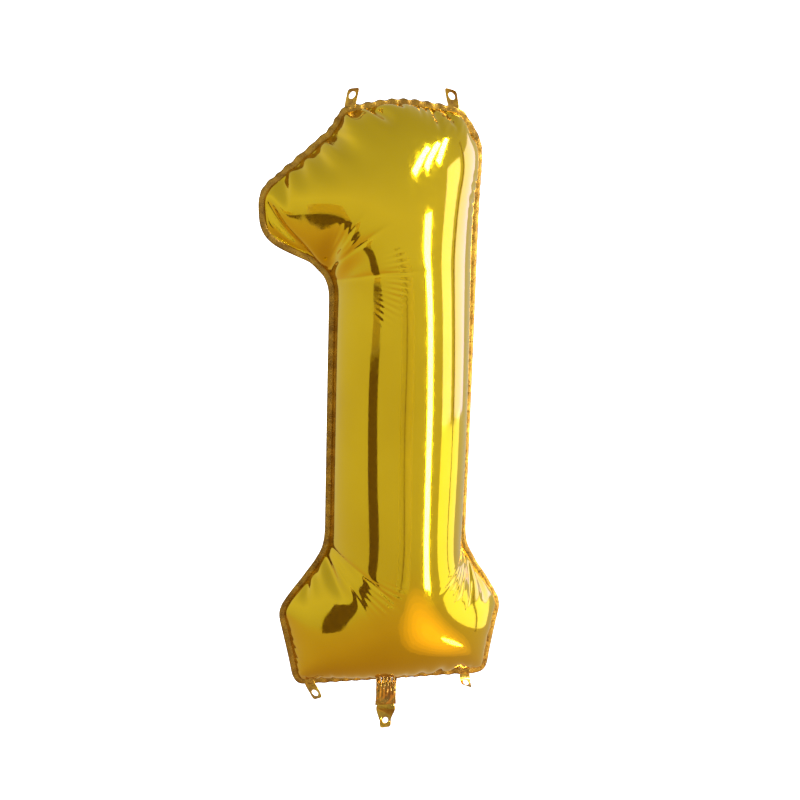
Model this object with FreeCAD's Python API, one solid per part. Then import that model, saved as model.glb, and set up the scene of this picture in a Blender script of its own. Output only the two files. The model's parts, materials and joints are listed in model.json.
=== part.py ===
# A numeral one foil balloon: two metallised film panels heat-sealed along a flat band, four hanging tabs
# with holes, and a filling neck with a flat self-sealing valve that reaches up into the gas space.
#
# Millimetres. The origin is where the neck leaves the cut bottom edge, on the neck's centre line.
# +Z runs up the numeral, +X to its right seen from the front, and the front panel bulges towards -Y.
# Film that folds in use is split at the fold into pieces with a small gap, where its hinge axis lies.
import FreeCAD
import Part
import math
import os

# ---- the numeral's cut edge, measured on the inflated balloon ----
TOTAL_HEIGHT = 868.0          # bottom cut edge to the crest of the arched top
COLUMN_X = 8.0                # the column's centre line, right of the neck's centre line
COLUMN_HALF = 108.0           # the column, from its centre line to the cut edge
FOOT_HALF_LEFT = 150.0        # the bottom edge, from the column's centre line to each end
FOOT_HALF_RIGHT = 150.0
BASE_HALF_LEFT = 178.0        # the base at its shoulders, its widest place
BASE_HALF_RIGHT = 170.0
SHOULDER_Z = 118.0            # height of those shoulders above the bottom edge
CROTCH_Z = 215.0              # height where the base runs into the column
FLAG_REACH = 208.0            # the flag's tip, left of the column's centre line
FLAG_ROOT_DROP = 243.0        # drops below the crest: where the flag's underside meets the column,
FLAG_LOW_DROP = 200.0         # the flag's lower corner,
FLAG_HIGH_DROP = 134.0        # the flag's upper corner,
SLOPE_DROP = 50.0             # the slight inward bend near the top of the flag's slope,
HEAD_LEFT_DROP = 20.0         # the head's left corner,
HEAD_RIGHT_DROP = 14.0        # the start of the bevel at the head's right,
HEAD_BEVEL_DROP = 58.0        # and its end on the column's edge
SLOPE_X = -112.0              # that bend, head corners and crest, from the column's centre line
HEAD_LEFT_X = -93.0
HEAD_RIGHT_X = 76.0
CREST_X = -14.0
FOOT_ROUND = 9.0              # rounds on the cut edge's corners, in the same order
SHOULDER_ROUND = 24.0
CROTCH_ROUND = 92.0
FLAG_ROOT_ROUND = 55.0
FLAG_LOW_ROUND = 38.0
FLAG_HIGH_ROUND = 36.0
SLOPE_ROUND = 60.0
HEAD_LEFT_ROUND = 14.0
HEAD_RIGHT_ROUND = 12.0
HEAD_BEVEL_ROUND = 55.0
CREST_ROUND = 200.0

# ---- film, seal and valve ----
SEAL_WIDTH = 9.0              # the flat heat-sealed band between the cut edge and the gas space
SEAM_CLEARANCE = 0.15         # left between the band's inner edge and the bulging panels
PLY = 0.4                     # one foil film where it lies flat
DOME_WALL = 0.8               # one foil film where it bulges over the gas
VALVE_FILM = 0.3              # one film of the valve
VALVE_LUMEN = 0.3             # the flat passage between the valve's two films
VALVE_MARGIN = 1.0            # between the valve's side edges and the neck's sealed sides
VALVE_RISE = 112.0            # the valve's inner end above the bottom edge
VALVE_BONDED_RISE = 34.0      # up to here the valve is bonded, above it the two films are free flaps
VALVE_TAIL = 34.0             # how far the valve's films reach down into the neck
VALVE_SIDE_CLEARANCE = 0.3    # between the valve's side edges and the panels it passes between

# ---- the filling neck ----
NECK_WIDTH = 33.0
NECK_SIDE_SEAL = 3.5          # the sealed strip along each side of the neck
NECK_LENGTH = 80.0            # the bottom cut edge to the neck's end
NECK_FOLD_DROP = 42.0         # the crease across the neck, below the bottom edge
NECK_FLEX_GAP = 1.0           # half of the gap left at the bend where the neck leaves the seal
NECK_FOLD_GAP = 2.0           # half of the gap left at the crease
NECK_END_ROUND = 8.0
NECK_HOLE_RADIUS = 4.5
NECK_HOLE_FROM_END = 12.0     # the tying hole's centre above the neck's end

# ---- the hanging tabs ----
TAB_LENGTH = 23.0
TAB_WIDTH = 17.0
TAB_HOLE_RADIUS = 4.5
TAB_BEND_GAP = 0.5            # half of the gap at the bend where a tab leaves the band
TAB_TOP_LEFT_X = -83.0        # places along the edge, from the column's centre line
TAB_TOP_RIGHT_X = 64.0
TAB_BOTTOM_LEFT_X = -126.0
TAB_BOTTOM_RIGHT_X = 117.0

# ---- how finely the bulging panels are worked out ----
ACROSS = 24                   # cells across the numeral
END_ROWS = 9                  # rows in each end zone, where the film turns steeply into the seal
END_ZONE = 95.0
SWEEPS = 260                  # relaxation sweeps
OVER_RELAXATION = 1.85
RUN_WEIGHT = 0.35             # how much a side's run counts against its rise when its rows are spread
ARC_STEPS = 16                # points along each round
ROUND_ROOM = 0.48             # the most of a side that the round at one of its ends may take
SEWING = 0.001                # how far apart two edges may be and still be sewn as one
TINY = 0.01                   # a length that counts as nothing
OVERSHOOT = 1.0               # how far a cutting tool stands out of what it cuts

FILM_STACK = VALVE_FILM + VALVE_LUMEN / 2      # half of the neck's inner height
NECK_HALF = FILM_STACK + PLY                   # half of the neck's full thickness
VALVE_WIDTH = NECK_WIDTH - 2 * NECK_SIDE_SEAL - 2 * VALVE_MARGIN


def numeral_corners():
    """The cut edge's corners, anticlockwise from the bottom left: x, z and the round on each."""
    crest = TOTAL_HEIGHT
    corners = [
        (-FOOT_HALF_LEFT, 0.0, FOOT_ROUND),
        (FOOT_HALF_RIGHT, 0.0, FOOT_ROUND),
        (BASE_HALF_RIGHT, SHOULDER_Z, SHOULDER_ROUND),
        (COLUMN_HALF, CROTCH_Z, CROTCH_ROUND),
        (COLUMN_HALF, crest - HEAD_BEVEL_DROP, HEAD_BEVEL_ROUND),
        (HEAD_RIGHT_X, crest - HEAD_RIGHT_DROP, HEAD_RIGHT_ROUND),
        (CREST_X, crest, CREST_ROUND),
        (HEAD_LEFT_X, crest - HEAD_LEFT_DROP, HEAD_LEFT_ROUND),
        (SLOPE_X, crest - SLOPE_DROP, SLOPE_ROUND),
        (-FLAG_REACH, crest - FLAG_HIGH_DROP, FLAG_HIGH_ROUND),
        (-FLAG_REACH, crest - FLAG_LOW_DROP, FLAG_LOW_ROUND),
        (-COLUMN_HALF, crest - FLAG_ROOT_DROP, FLAG_ROOT_ROUND),
        (-COLUMN_HALF, CROTCH_Z, CROTCH_ROUND),
        (-BASE_HALF_LEFT, SHOULDER_Z, SHOULDER_ROUND),
    ]
    return [(COLUMN_X + x, z, r) for x, z, r in corners]


FOOT_LEFT, FOOT_RIGHT, HEAD_RIGHT, HEAD_LEFT = 0, 1, 5, 7      # places in that list
PANEL_CORNERS = (FOOT_LEFT, FOOT_RIGHT, HEAD_RIGHT, HEAD_LEFT)


def inset(corners, distance):
    """The same outline moved inwards by a distance: outer rounds shrink and inner rounds grow.

    The four corners where the panel's sides meet are sharp on the inner outlines, as the seal's are.
    """
    moved = []
    count = len(corners)
    for i in range(count):
        x0, z0, _ = corners[i - 1]
        x1, z1, radius = corners[i]
        x2, z2, _ = corners[(i + 1) % count]
        ax, az = unit(x1 - x0, z1 - z0)
        bx, bz = unit(x2 - x1, z2 - z1)
        turn = ax * bz - az * bx
        # the inward normal of a side that runs anticlockwise is (-z, x); the two moved sides meet here
        half = distance / (1.0 + ax * bx + az * bz)
        moved_x = x1 - (az + bz) * half
        moved_z = z1 + (ax + bx) * half
        moved_radius = radius - distance if turn > 0 else radius + distance
        if i in PANEL_CORNERS:
            moved_radius = 0.0
        moved.append((moved_x, moved_z, max(moved_radius, 0.0)))
    return moved


def unit(x, z):
    """The direction (x, z) at length one."""
    length = math.hypot(x, z)
    return x / length, z / length


def corner_round(corners, i):
    """The round on corner i as centre, radius, start angle and turn, or None for a sharp corner."""
    x0, z0, _ = corners[i - 1]
    x1, z1, radius = corners[i]
    x2, z2, _ = corners[(i + 1) % len(corners)]
    ax, az = unit(x1 - x0, z1 - z0)
    bx, bz = unit(x2 - x1, z2 - z1)
    turn = math.atan2(ax * bz - az * bx, ax * bx + az * bz)
    room = ROUND_ROOM * min(math.hypot(x1 - x0, z1 - z0), math.hypot(x2 - x1, z2 - z1))
    cut = min(radius * math.tan(abs(turn) / 2), room)
    if cut < TINY:
        return None
    fitted = cut / math.tan(abs(turn) / 2)
    side = 1.0 if turn > 0 else -1.0
    centre_x = x1 - ax * cut - az * fitted * side
    centre_z = z1 - az * cut + ax * fitted * side
    start = math.atan2(z1 - az * cut - centre_z, x1 - ax * cut - centre_x)
    return centre_x, centre_z, fitted, start, turn


def arc_point(rounding, part):
    """The point a given part, 0 to 1, of the way round a corner's arc."""
    centre_x, centre_z, radius, start, turn = rounding
    angle = start + turn * part
    return centre_x + radius * math.cos(angle), centre_z + radius * math.sin(angle)


def flat(x, z, y=0.0):
    """A point of the seam plane, or at depth y from it."""
    return FreeCAD.Vector(x, y, z)


def outline_wire(corners):
    """The closed outline in the seam plane: straight sides joined by arcs."""
    edges = []
    ends = []
    for i in range(len(corners)):
        rounding = corner_round(corners, i)
        if rounding is None:
            point = flat(corners[i][0], corners[i][1])
            ends.append((point, point))
            continue
        first, middle, last = (flat(*arc_point(rounding, part)) for part in (0.0, 0.5, 1.0))
        edges.append(Part.Arc(first, middle, last).toShape())
        ends.append((first, last))
    for i in range(len(corners)):
        edges.append(Part.makeLine(ends[i][1], ends[(i + 1) % len(ends)][0]))
    return Part.Wire(Part.sortEdges(edges)[0])


def chain(corners, first, last):
    """The outline from the middle of one corner's round to the middle of another's, as close points."""
    points = []
    i = first
    while True:
        rounding = corner_round(corners, i)
        if rounding is None:
            points.append((corners[i][0], corners[i][1]))
        else:
            begin = 0.5 if i == first else 0.0
            end = 0.5 if i == last and i != first else 1.0
            for k in range(ARC_STEPS + 1):
                points.append(arc_point(rounding, begin + (end - begin) * k / ARC_STEPS))
        if i == last:
            return points
        i = (i + 1) % len(corners)


def spread(points, fractions, run_weight=1.0):
    """Points along a chain at given fractions of its rise and run added up, where run counts by its weight."""
    along = [0.0]
    for (x0, z0), (x1, z1) in zip(points, points[1:]):
        along.append(along[-1] + abs(z1 - z0) + run_weight * abs(x1 - x0))
    found = []
    k = 0
    for fraction in fractions:
        target = fraction * along[-1]
        while k < len(along) - 2 and along[k + 1] < target:
            k += 1
        part = (target - along[k]) / (along[k + 1] - along[k])
        part = min(max(part, 0.0), 1.0)
        x = points[k][0] + part * (points[k + 1][0] - points[k][0])
        z = points[k][1] + part * (points[k + 1][1] - points[k][1])
        found.append((x, z))
    return found


def row_fractions():
    """Fractions of the height: even along the numeral, closing up like a circle's points at each end."""
    turn_step = math.pi / 2 / END_ROWS
    row_height = END_ZONE * turn_step
    middle_rows = max(2, round((TOTAL_HEIGHT - 2 * END_ZONE) / row_height))
    low = [END_ZONE * (1 - math.cos(turn_step * k)) for k in range(END_ROWS)]
    middle_step = (TOTAL_HEIGHT - 2 * END_ZONE) / middle_rows
    middle = [END_ZONE + middle_step * k for k in range(middle_rows + 1)]
    high = [TOTAL_HEIGHT - height for height in reversed(low)]
    return [height / TOTAL_HEIGHT for height in low + middle + high]


def border(corners):
    """The points of the grid's edge, anticlockwise from the bottom left, and how many each side takes."""
    across = [(1 - math.cos(math.pi * k / ACROSS)) / 2 for k in range(ACROSS + 1)]
    up = row_fractions()
    down = [1 - fraction for fraction in reversed(up)]
    sides = [
        spread(chain(corners, FOOT_LEFT, FOOT_RIGHT), across),
        spread(chain(corners, FOOT_RIGHT, HEAD_RIGHT), up, RUN_WEIGHT),
        spread(chain(corners, HEAD_RIGHT, HEAD_LEFT), across),
        spread(chain(corners, HEAD_LEFT, FOOT_LEFT), down, RUN_WEIGHT),
    ]
    return [point for side in sides for point in side[:-1]]


def seam_grid(edge):
    """A grid over the area inside an edge of border points, blended from its four sides, as rows of (x, z)."""
    across = [(1 - math.cos(math.pi * k / ACROSS)) / 2 for k in range(ACROSS + 1)]
    up = row_fractions()
    last = len(up) - 1
    loop = edge + edge[:1]
    bottom = loop[: ACROSS + 1]
    right = loop[ACROSS : ACROSS + last + 1]
    top = loop[ACROSS + last : 2 * ACROSS + last + 1][::-1]
    left = loop[2 * ACROSS + last :][::-1]
    rows = []
    for j, v in enumerate(up):
        row = []
        for i, u in enumerate(across):
            point = []
            for axis in (0, 1):
                sides = (1 - v) * bottom[i][axis] + v * top[i][axis]
                sides += (1 - u) * left[j][axis] + u * right[j][axis]
                low = (1 - u) * bottom[0][axis] + u * bottom[-1][axis]
                high = (1 - u) * top[0][axis] + u * top[-1][axis]
                point.append(sides - (1 - v) * low - v * high)
            row.append(tuple(point))
        rows.append(row)
    return rows


def bulge(rows):
    """The film's height over each grid point.

    A film under even pressure stands as high as the square root of twice the soap-film function of its
    outline: over a long strip that is exactly a half circle. The function is zero on the seam and is
    worked out on the grid's triangles, by relaxation.
    """
    high, wide = len(rows), len(rows[0])
    weights = [{} for _ in range(high * wide)]
    loads = [0.0] * (high * wide)
    for j in range(high - 1):
        for i in range(wide - 1):
            a, b = j * wide + i, j * wide + i + 1
            c, d = a + wide, b + wide
            for triangle in ((a, b, d), (a, d, c)):
                places = [rows[n // wide][n % wide] for n in triangle]
                add_triangle(weights, loads, triangle, places)
    inside = [j * wide + i for j in range(1, high - 1) for i in range(1, wide - 1)]
    values = [0.0] * (high * wide)
    for _ in range(SWEEPS):
        for n in inside:
            row = weights[n]
            pulled = loads[n]
            for m, weight in row.items():
                if m != n:
                    pulled -= weight * values[m]
            values[n] += OVER_RELAXATION * (pulled / row[n] - values[n])
    return [[math.sqrt(2 * max(values[j * wide + i], 0.0)) for i in range(wide)] for j in range(high)]


def add_triangle(weights, loads, triangle, places):
    """Adds one triangle's share to the soap-film equations."""
    (x0, z0), (x1, z1), (x2, z2) = places
    slope_x = (z1 - z2, z2 - z0, z0 - z1)
    slope_z = (x2 - x1, x0 - x2, x1 - x0)
    area = abs((x1 - x0) * (z2 - z0) - (x2 - x0) * (z1 - z0)) / 2
    if area < TINY * TINY:
        return
    for p in range(3):
        loads[triangle[p]] += area / 3
        for q in range(3):
            share = (slope_x[p] * slope_x[q] + slope_z[p] * slope_z[q]) / (4 * area)
            weights[triangle[p]][triangle[q]] = weights[triangle[p]].get(triangle[q], 0.0) + share


def dome_face(edge, side):
    """The curved face that stands over an edge of border points, on the side -1 (front) or +1 (back)."""
    rows = seam_grid(edge)
    heights = bulge(rows)
    points = []
    for row, row_heights in zip(rows, heights):
        points.append([flat(x, z, side * y) for (x, z), y in zip(row, row_heights)])
    surface = Part.BSplineSurface()
    surface.interpolate(points)
    return surface.toShape()


def seam_loop(face):
    """The closed edge of a dome face, in the seam plane."""
    return Part.Wire(Part.sortEdges(face.Edges)[0])


def block(low, high):
    """A box between two corners."""
    size = [b - a for a, b in zip(low, high)]
    return Part.makeBox(*size, FreeCAD.Vector(*low))


def dome_panel(outer, inner, side):
    """One bulging film: outer and inner faces joined by the ring where it meets the other panel."""
    ring = Part.Face(seam_loop(outer)).cut(Part.Face(seam_loop(inner)))
    shell = Part.makeShell([outer, inner] + ring.Faces)
    shell.sewShape()
    solid = Part.Solid(Part.Shell(shell.Faces))
    solid.fix(SEWING, SEWING, SEWING)
    if solid.Volume < 0:
        solid.reverse()
    # the valve passes between the two panels here
    half_passage = VALVE_WIDTH / 2 + VALVE_SIDE_CLEARANCE
    depths = sorted((0.0, side * FILM_STACK))
    passage = block(
        (-half_passage, depths[0], SEAL_WIDTH - OVERSHOOT),
        (half_passage, depths[1], SEAL_WIDTH + 3 * DOME_WALL),
    )
    return solid.cut(passage)


def seal_band():
    """Both films fused flat, from the gas space's edge out to the cut edge, open where the neck enters."""
    inner_edge = outline_wire(inset(numeral_corners(), SEAL_WIDTH - SEAM_CLEARANCE))
    ring = Part.Face(outline_wire(numeral_corners())).cut(Part.Face(inner_edge))
    band = ring.extrude(FreeCAD.Vector(0, 2 * PLY, 0))
    band.translate(FreeCAD.Vector(0, -PLY, 0))
    half = NECK_WIDTH / 2
    throat = block((-half, -OVERSHOOT, -OVERSHOOT), (half, OVERSHOOT, SEAL_WIDTH + OVERSHOOT))
    return band.cut(throat)


def top_edge_place(x):
    """The point of the arched top edge at this x, and the direction off it."""
    points = chain(numeral_corners(), HEAD_RIGHT, HEAD_LEFT)
    for (x0, z0), (x1, z1) in zip(points, points[1:]):
        if x1 <= x <= x0 and x0 > x1:
            part = (x0 - x) / (x0 - x1)
            along_x, along_z = unit(x1 - x0, z1 - z0)
            return (x, z0 + part * (z1 - z0)), (along_z, -along_x)
    raise ValueError("the tab is off the top edge")


def tab_places():
    """Each tab's node name with the edge point it leaves and the direction that it points in."""
    return {
        "tab_top_left": top_edge_place(COLUMN_X + TAB_TOP_LEFT_X),
        "tab_top_right": top_edge_place(COLUMN_X + TAB_TOP_RIGHT_X),
        "tab_bottom_left": ((COLUMN_X + TAB_BOTTOM_LEFT_X, 0.0), (0.0, -1.0)),
        "tab_bottom_right": ((COLUMN_X + TAB_BOTTOM_RIGHT_X, 0.0), (0.0, -1.0)),
    }


def tab(edge_point, outward):
    """A flat sealed tab, both films thick, with a round end and a hole on the round's centre."""
    half = TAB_WIDTH / 2
    middle = TAB_LENGTH - half
    root = 2 * TAB_BEND_GAP
    straight = block((-half, -PLY, root), (half, PLY, middle))
    depth = FreeCAD.Vector(0, 1, 0)
    end = Part.makeCylinder(half, 2 * PLY, FreeCAD.Vector(0, -PLY, middle), depth)
    hole = Part.makeCylinder(TAB_HOLE_RADIUS, 4 * PLY, FreeCAD.Vector(0, -2 * PLY, middle), depth)
    plate = straight.fuse(end).removeSplitter().cut(hole)
    swing = math.degrees(math.atan2(outward[0], outward[1]))
    plate.rotate(FreeCAD.Vector(0, 0, 0), depth, swing)
    plate.translate(flat(*edge_point))
    return plate


def channel(side, width, low, high):
    """One film of the neck between two heights: flat over the valve, and meeting the other film at its sides."""
    half = width / 2
    bare = half - NECK_SIDE_SEAL
    outer = sorted((0.0, side * NECK_HALF))
    hollow = sorted((0.0, side * FILM_STACK))
    film = block((-half, outer[0], low), (half, outer[1], high))
    return film.cut(block((-bare, hollow[0], low - OVERSHOOT), (bare, hollow[1], high + OVERSHOOT)))


def neck_end(side):
    """One film of the neck below its crease, with a rounded end and the tying hole."""
    film = channel(side, NECK_WIDTH, -NECK_LENGTH, -NECK_FOLD_DROP - NECK_FOLD_GAP)
    upright = []
    for edge in film.Edges:
        low, high = edge.BoundBox.ZMin, edge.BoundBox.ZMax
        across = abs(edge.BoundBox.XMin)
        if high < TINY - NECK_LENGTH and low > -TINY - NECK_LENGTH:
            if edge.BoundBox.YLength > NECK_HALF - TINY and across > NECK_WIDTH / 2 - TINY:
                upright.append(edge)
    rounded = film.makeFillet(min(NECK_END_ROUND, NECK_WIDTH / 2 - NECK_SIDE_SEAL), upright)
    depth = FreeCAD.Vector(0, 1, 0)
    hole_centre = FreeCAD.Vector(0, -2 * NECK_HALF, NECK_HOLE_FROM_END - NECK_LENGTH)
    return rounded.cut(Part.makeCylinder(NECK_HOLE_RADIUS, 4 * NECK_HALF, hole_centre, depth))


def valve_film(side, low, high):
    """One flat film of the valve between two heights, lying against the foil on its side."""
    depths = sorted((side * VALVE_LUMEN / 2, side * FILM_STACK))
    return block((-VALVE_WIDTH / 2, depths[0], low), (VALVE_WIDTH / 2, depths[1], high))


def build():
    """Every piece of the balloon by the name of its node."""
    weld = border(inset(numeral_corners(), SEAL_WIDTH))
    # the film's inner face keeps its distance from the outer one point by point
    sharp = [(x, z, 0.0) for x, z in weld]
    weld_inside = [(x, z) for x, z, _ in inset(sharp, DOME_WALL)]
    nodes = {"seal_band": seal_band()}
    for name, side in (("front", -1), ("back", 1)):
        outer = dome_face(weld, side)
        inner = dome_face(weld_inside, side)
        nodes[name + "_panel"] = dome_panel(outer, inner, side)
        nodes["throat_" + name + "_film"] = channel(side, NECK_WIDTH, 0.0, SEAL_WIDTH)
        neck_top = -2 * NECK_FLEX_GAP
        nodes["neck_" + name + "_film"] = channel(side, NECK_WIDTH, NECK_FOLD_GAP - NECK_FOLD_DROP, neck_top)
        nodes["neck_end_" + name + "_film"] = neck_end(side)
        nodes["valve_inlet_" + name + "_film"] = valve_film(side, -VALVE_TAIL, neck_top)
        nodes["valve_" + name + "_film"] = valve_film(side, 0.0, VALVE_BONDED_RISE)
        nodes["valve_" + name + "_flap"] = valve_film(side, VALVE_BONDED_RISE + VALVE_FILM, VALVE_RISE)
    for name, (edge_point, outward) in tab_places().items():
        nodes[name] = tab(edge_point, outward)
    return nodes


if __name__ == "__main__":
    os.makedirs("parts", exist_ok=True)
    for name, shape in build().items():
        shape.exportStep("parts/" + name + ".step")
        print(name, "volume", round(shape.Volume, 1), "valid", shape.isValid(), "solids", len(shape.Solids))
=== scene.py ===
"""Foil number balloon, the numeral one: its looks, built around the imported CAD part.

The film is blown up here from its flat pattern, so that it takes the fullness, the gathered
edge and the creases of a real foil balloon. Metres, in the CAD part's own frame: the origin is
where the neck leaves the bottom edge, +Z is up and the front faces -Y.
"""

import json
import math

import bpy
import numpy as np
from mathutils import Matrix, Vector


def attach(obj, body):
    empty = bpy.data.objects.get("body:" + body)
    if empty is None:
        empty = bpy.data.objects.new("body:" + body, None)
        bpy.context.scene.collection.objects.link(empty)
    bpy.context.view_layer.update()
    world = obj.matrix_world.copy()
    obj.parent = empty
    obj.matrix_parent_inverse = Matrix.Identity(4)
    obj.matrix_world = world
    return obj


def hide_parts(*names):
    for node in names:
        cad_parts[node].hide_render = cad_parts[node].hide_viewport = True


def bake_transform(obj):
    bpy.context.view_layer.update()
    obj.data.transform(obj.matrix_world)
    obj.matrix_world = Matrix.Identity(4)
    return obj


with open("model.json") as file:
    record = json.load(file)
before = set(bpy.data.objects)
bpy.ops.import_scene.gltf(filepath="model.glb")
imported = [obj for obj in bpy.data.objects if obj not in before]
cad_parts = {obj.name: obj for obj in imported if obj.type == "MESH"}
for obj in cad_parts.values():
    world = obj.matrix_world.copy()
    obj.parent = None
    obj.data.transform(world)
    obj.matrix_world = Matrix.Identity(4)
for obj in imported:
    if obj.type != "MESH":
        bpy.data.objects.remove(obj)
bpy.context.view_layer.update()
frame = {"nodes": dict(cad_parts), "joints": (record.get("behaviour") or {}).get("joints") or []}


# ---- Front and back panels ---------------------------------------------------------------------
# Two sheets of thin gold metallised film cut to the numeral and welded to each other all round.
# Gas pushes them out and the film does not stretch, so the weld draws in, which gathers the edge
# and creases the inside corners. Both are worked out together from their flat pattern.

COLUMN_CENTRE = 0.008

# corners of the weld, anticlockwise from bottom left: sideways, height, radius of the round
WELD_FULL = (
    (-0.142, 0.009, 0), (0, 0.009, 0.5), (0.142, 0.009, 0), (0.160, 0.118, 0.018),
    (0.099, 0.215, 0.100), (0.099, 0.812, 0.050), (0.070, 0.848, 0), (-0.014, 0.858, 0.190),
    (-0.088, 0.842, 0), (-0.106, 0.814, 0.050), (-0.199, 0.732, 0.028), (-0.199, 0.674, 0.030),
    (-0.099, 0.628, 0.064), (-0.099, 0.215, 0.100), (-0.168, 0.118, 0.018),
)
WELD_FLAT = (
    (-0.166, -0.018, 0.020), (-0.005, -0.044, 0.6), (0.160, -0.012, 0.020),
    (0.203, 0.112, 0.060), (0.156, 0.215, 0.060), (0.142, 0.805, 0.090), (0.100, 0.868, 0),
    (-0.014, 0.905, 0.200), (-0.096, 0.868, 0), (-0.130, 0.830, 0.060),
    (-0.232, 0.752, 0.060), (-0.242, 0.682, 0.050), (-0.156, 0.628, 0.055),
    (-0.156, 0.215, 0.060), (-0.206, 0.112, 0.060),
)
BOTTOM, TOP, FLAG_ROOT = (0, 1, 2), (6, 7, 8), 12
LEFT_RUNS, RIGHT_RUNS = ((13, 14, 0), (12, 13), (8, 9, 10, 11, 12)), ((2, 3, 4), (4, 5, 6))
FOOT_HEIGHT, COLUMN_HEIGHT, HEAD_HEIGHT, FLAT_WIDTH = 0.262, 0.417, 0.300, 0.312
ARC_STEPS = 12
SIDEWAYS_SHARE = 0.35
FULL_DEPTH, END_RUN = 0.112, 0.110

# cell size, rounds, gas push, resistance to folding, smoothing, first unevenness, hold on the weld
STAGES = (
    (0.016, 400, 1.50, 0.02, 0.14, 0.0, 0.50),
    (0.008, 250, 1.20, 0.02, 0.11, 0.0, 0.40),
    (0.0045, 220, 0.40, 0.5, 0.03, 0.0001, 0.25),
)
MOMENTUM = 0.97
SHEAR_HOLD = 0.5


def corner_arc(corners, i, begin, finish):
    """Points on the round at corner i, from share begin to share finish of its turn."""
    here, before, after = (np.array(corners[k % len(corners)][:2]) for k in (i, i - 1, i + 1))
    come, go = here - before, after - here
    come_length, go_length = np.linalg.norm(come), np.linalg.norm(go)
    come, go = come / come_length, go / go_length
    turn = math.atan2(come[0] * go[1] - come[1] * go[0], come @ go)
    cut = min(corners[i][2] * math.tan(abs(turn) / 2), 0.48 * min(come_length, go_length))
    if cut < 1e-6:
        return here[None]
    side = math.copysign(cut / math.tan(abs(turn) / 2), turn)
    centre = here - come * cut + side * np.array((-come[1], come[0]))
    spoke = here - come * cut - centre
    angle = math.atan2(spoke[1], spoke[0]) + turn * np.linspace(begin, finish, ARC_STEPS + 1)
    return centre + abs(side) * np.stack((np.cos(angle), np.sin(angle)), 1)


def edge_run(corners, order):
    """The edge from the middle of the first corner's round to the middle of the last one's."""
    last = len(order) - 1
    parts = [
        corner_arc(corners, i, 0.5 if k == 0 else 0.0, 0.5 if k == last else 1.0)
        for k, i in enumerate(order)
    ]
    return np.concatenate(parts)


def run_length(points, sideways):
    """Length so far along a run, with its sideways part counted at the given share."""
    step = np.abs(np.diff(points, axis=0))
    length = np.hypot(step[:, 0], step[:, 1]) if sideways == 1 else sideways * step[:, 0] + step[:, 1]
    return np.concatenate(([0], np.cumsum(length)))


def at_lengths(points, so_far, wanted):
    """Points of a run at the wanted lengths along it."""
    return np.stack([np.interp(wanted, so_far, points[:, k]) for k in (0, 1)], 1)


def even(points, count, sideways=1):
    """A run as count + 1 points, evenly spread."""
    so_far = run_length(points, sideways)
    return at_lengths(points, so_far, np.linspace(0, so_far[-1], count + 1))


def side_edges(corners, rows):
    """Left and right edges, upwards, with the same three groups of rows: foot, column and head."""
    foot, column, head = rows
    left = [
        even(edge_run(corners, order)[::-1], count, SIDEWAYS_SHARE)
        for order, count in zip(LEFT_RUNS, (foot, column, head))
    ]
    low = even(edge_run(corners, RIGHT_RUNS[0]), foot, SIDEWAYS_SHARE)
    high = edge_run(corners, RIGHT_RUNS[1])
    so_far = run_length(high, SIDEWAYS_SHARE)
    root = np.interp(corners[FLAG_ROOT][1], high[:, 1], so_far)
    below = np.linspace(0, root, column + 1)[1:]
    above = np.linspace(root, so_far[-1], head + 1)[1:]
    right = np.concatenate((low, at_lengths(high, so_far, np.concatenate((below, above)))))
    return np.concatenate((left[0], left[1][1:], left[2][1:])), right


def patch(corners, cell):
    """Grid over the outline: each row and column blends its two edges, less the four corners' own blend."""
    rows = [round(height / cell) for height in (FOOT_HEIGHT, COLUMN_HEIGHT, HEAD_HEIGHT)]
    columns = round(FLAT_WIDTH / cell)
    left, right = side_edges(corners, rows)
    bottom = even(edge_run(corners, BOTTOM), columns)
    top = even(edge_run(corners, TOP)[::-1], columns)
    u = np.linspace(0, 1, columns + 1)[None, :, None]
    v = np.linspace(0, 1, sum(rows) + 1)[:, None, None]
    grid = (1 - v) * bottom[None] + v * top[None] + (1 - u) * left[:, None] + u * right[:, None]
    grid -= (1 - u) * ((1 - v) * bottom[0] + v * top[0]) + u * ((1 - v) * bottom[-1] + v * top[-1])
    return grid


def all_round(sheet):
    """The front sheet's columns from left to right, then the back sheet's from right to left."""
    return np.concatenate((sheet, sheet[:, -2:0:-1]), 1)


def first_shape(full):
    """A rounded tube over the full outline: half-circle rows that close towards both ends."""
    share = np.linspace(0, 1, full.shape[1])
    left, right = full[:, :1, 0], full[:, -1:, 0]
    x = left + (right - left) * (1 - np.cos(np.pi * share)) / 2
    z = full[..., 1]
    end = np.clip(np.minimum(z - z[:1], z[-1:] - z) / END_RUN, 0, 1)
    depth = np.minimum((right - left) / 2, FULL_DEPTH) * np.sin(np.pi * share)
    depth = depth * np.sqrt(1 - (1 - end) ** 2)
    front = np.stack((x, -depth, z), -1)
    back = np.stack((x, depth, z), -1)
    return np.concatenate((front, back[:, -2:0:-1]), 1)


def stretch_grid(grid, count, axis):
    """The same surface with count points along one axis, by straight interpolation."""
    place = np.linspace(0, grid.shape[axis] - 1, count)
    low = np.minimum(place.astype(int), grid.shape[axis] - 2)
    part = (place - low).reshape([-1 if k == axis else 1 for k in range(grid.ndim)])
    return np.take(grid, low, axis) * (1 - part) + np.take(grid, low + 1, axis) * part


def finer(film, rows, columns):
    """The film on a finer grid of rows, with columns points all round."""
    ring = np.concatenate((film, film[:, :1]), 1)
    return stretch_grid(stretch_grid(ring, rows, 0), columns + 1, 1)[:, :-1]


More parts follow.
